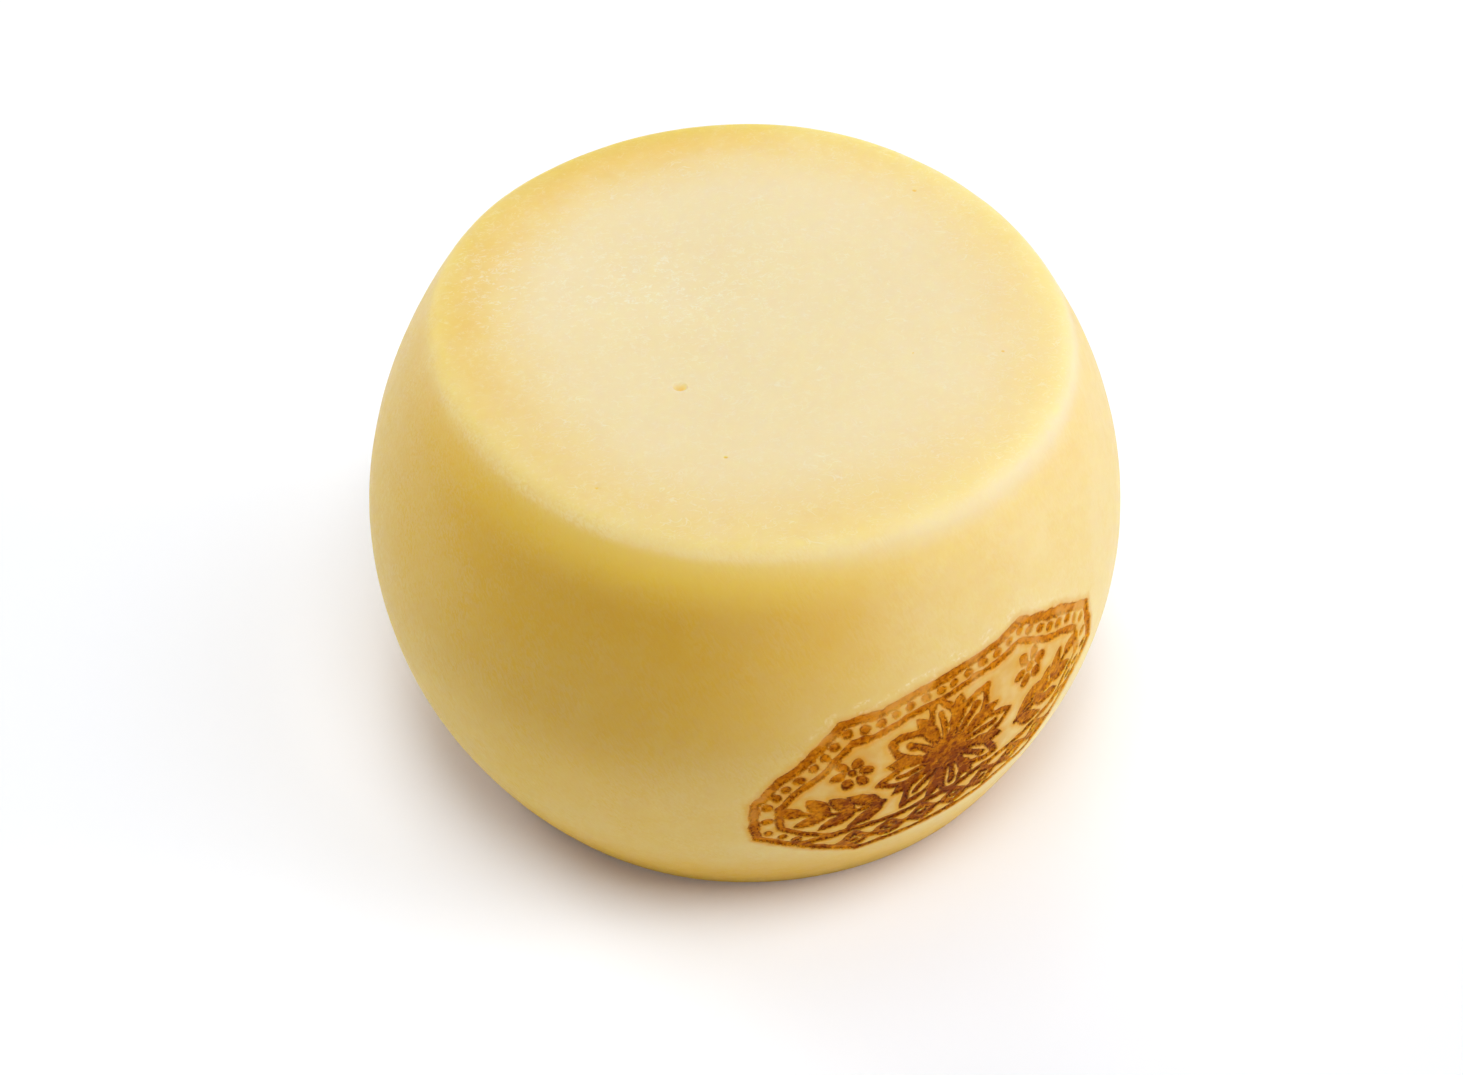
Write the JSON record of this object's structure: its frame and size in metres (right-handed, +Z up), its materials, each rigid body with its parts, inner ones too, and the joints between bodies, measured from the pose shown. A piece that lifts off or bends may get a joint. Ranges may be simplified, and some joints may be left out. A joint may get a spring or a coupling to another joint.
{
  "type": "caciocavallo cheese",
  "caption": "Small whole caciocavallo cheese: a bulging drum with a flat foot, a gently crowned top face with a soft rim and a tiny curd pit.",
  "frame": {"origin": "middle of the cheese's outline on the standing surface, level with its flat foot", "axes": "+Z up, from the foot to the top face; the pictured side faces -Y"},
  "size_m": [0.1298, 0.1302, 0.0859],
  "materials": {
    "cheese": "smooth waxy cheese rind, pale straw yellow, soft sheen"
  },
  "bodies": {
    "root": {"cheese": "cheese"}
  },
  "joints": []
}
